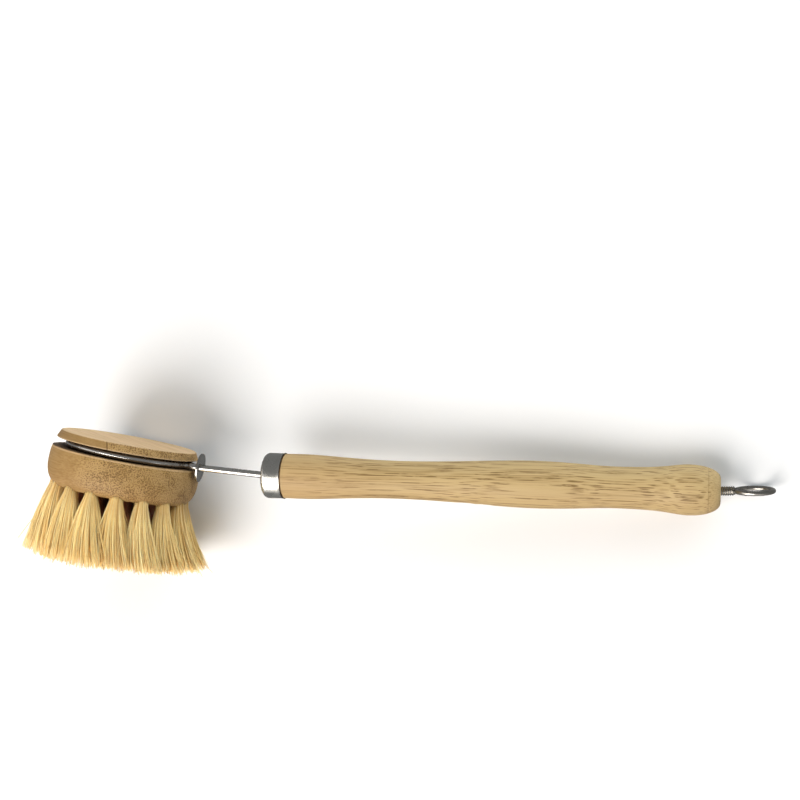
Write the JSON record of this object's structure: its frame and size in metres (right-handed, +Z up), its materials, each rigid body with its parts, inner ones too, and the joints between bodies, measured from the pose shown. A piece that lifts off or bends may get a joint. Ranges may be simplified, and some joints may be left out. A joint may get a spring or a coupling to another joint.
{
  "type": "dish brush",
  "caption": "Turned wooden dish brush with a round replaceable bristle head held in a spring-wire loop, a steel ferrule, a sliding lock plate and a hanging eye.",
  "frame": {"origin": "on the table, under the middle of the footprint of the brush lying on its side", "axes": "+Z up from the table, +X from the head to the tail, +Y to the side that the head's top faces"},
  "size_m": [0.235, 0.0478, 0.0556],
  "materials": {
    "handle_bamboo": "oiled",
    "head_bamboo": "oiled",
    "ferrule_steel": "polished",
    "wire_steel": "polished",
    "plate_steel": "polished",
    "eye_steel": "satin",
    "anchor_steel": "plain",
    "plant_fibre": "matte"
  },
  "bodies": {
    "handle": {"handle": "handle_bamboo", "ferrule": "ferrule_steel", "wire_loop": "wire_steel", "screw_eye": "eye_steel"},
    "head": {"head_block": "head_bamboo", "tuft_outer_01": "plant_fibre", "tuft_outer_02": "plant_fibre", "tuft_outer_03": "plant_fibre", "tuft_outer_04": "plant_fibre", "tuft_outer_05": "plant_fibre", "tuft_outer_06": "plant_fibre", "tuft_outer_07": "plant_fibre", "tuft_outer_08": "plant_fibre", "tuft_outer_09": "plant_fibre", "tuft_outer_10": "plant_fibre", "tuft_outer_11": "plant_fibre", "tuft_outer_12": "plant_fibre", "tuft_outer_13": "plant_fibre", "tuft_outer_14": "plant_fibre", "tuft_outer_15": "plant_fibre", "tuft_outer_16": "plant_fibre", "tuft_middle_01": "plant_fibre", "tuft_middle_02": "plant_fibre", "tuft_middle_03": "plant_fibre", "tuft_middle_04": "plant_fibre", "tuft_middle_05": "plant_fibre", "tuft_middle_06": "plant_fibre", "tuft_middle_07": "plant_fibre", "tuft_middle_08": "plant_fibre", "tuft_middle_09": "plant_fibre", "tuft_middle_10": "plant_fibre", "tuft_inner_01": "plant_fibre", "tuft_inner_02": "plant_fibre", "tuft_inner_03": "plant_fibre", "tuft_inner_04": "plant_fibre", "tuft_inner_05": "plant_fibre", "tuft_anchors": "anchor_steel"},
    "lock_plate": {"lock_plate": "plate_steel"}
  },
  "joints": [
    {"name": "head_spin", "type": "hinge", "parent": "handle", "child": "head", "pos_m": [-0.08472, 0.01564, 0.0233], "axis": [0.1546, 0.9784, -0.137], "continuous": true},
    {"name": "lock_plate_slide", "type": "slide", "parent": "handle", "child": "lock_plate", "axis": [0.9937, -0.0727, -0.0849], "range_m": [0, 0.0202]}
  ]
}
